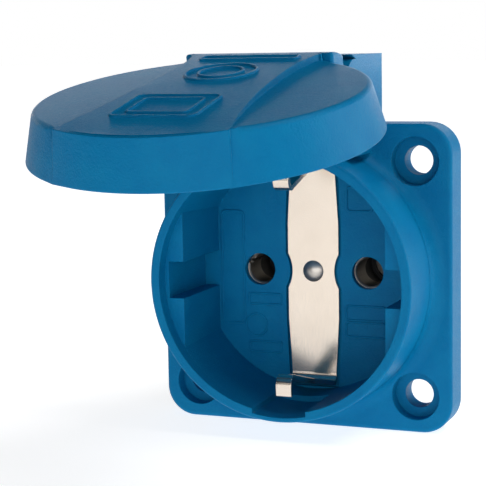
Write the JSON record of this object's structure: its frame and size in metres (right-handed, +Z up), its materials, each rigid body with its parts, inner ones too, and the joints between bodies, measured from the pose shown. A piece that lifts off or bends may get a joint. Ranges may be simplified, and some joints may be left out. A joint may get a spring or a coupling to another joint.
{
  "type": "industrial panel socket",
  "caption": "Square-flanged panel socket with a round keyed recess, side earth strap and a hinged sealing lid, with sleeve contacts and screw terminals behind the panel.",
  "frame": {"origin": "on the recess axis in the plane of the flange's back face, at the middle of the four fixing holes", "axes": "+X to the right as the user looks at the socket, +Y into the panel, +Z up towards the hinge; the socket faces -Y"},
  "size_m": [0.0502, 0.092, 0.0615],
  "materials": {
    "blue_plastic": "fine satin moulding texture, glass-filled polyamide",
    "seal_rubber": "soft matt",
    "carrier_plastic": "matt",
    "nickel_plate": "bright tin or nickel plate on bronze sheet",
    "brass": "plain stamped brass",
    "zinc_steel": "zinc plated"
  },
  "bodies": {
    "base": {"housing": "blue_plastic", "hinge_pin": "zinc_steel", "panel_gasket": "seal_rubber", "earth_strap": "nickel_plate", "strap_rivet": "nickel_plate", "line_contact": "nickel_plate", "neutral_contact": "nickel_plate", "line_ring_spring": "zinc_steel", "neutral_ring_spring": "zinc_steel", "contact_carrier": "carrier_plastic", "line_terminal": "brass", "neutral_terminal": "brass", "earth_terminal": "brass", "line_clamp": "zinc_steel", "neutral_clamp": "zinc_steel", "earth_clamp": "zinc_steel", "line_screw": "zinc_steel", "neutral_screw": "zinc_steel", "earth_screw": "zinc_steel", "carrier_screw_left": "zinc_steel", "carrier_screw_right": "zinc_steel", "carrier_screw_top": "zinc_steel"},
    "lid": {"lid": "blue_plastic", "lid_seal": "seal_rubber"}
  },
  "joints": [
    {"name": "lid_hinge", "type": "hinge", "parent": "base", "child": "lid", "pos_m": [0, -0.01455, 0.03135], "axis": [-1, 0, 0], "range_deg": [-78.2, 16.8]}
  ]
}
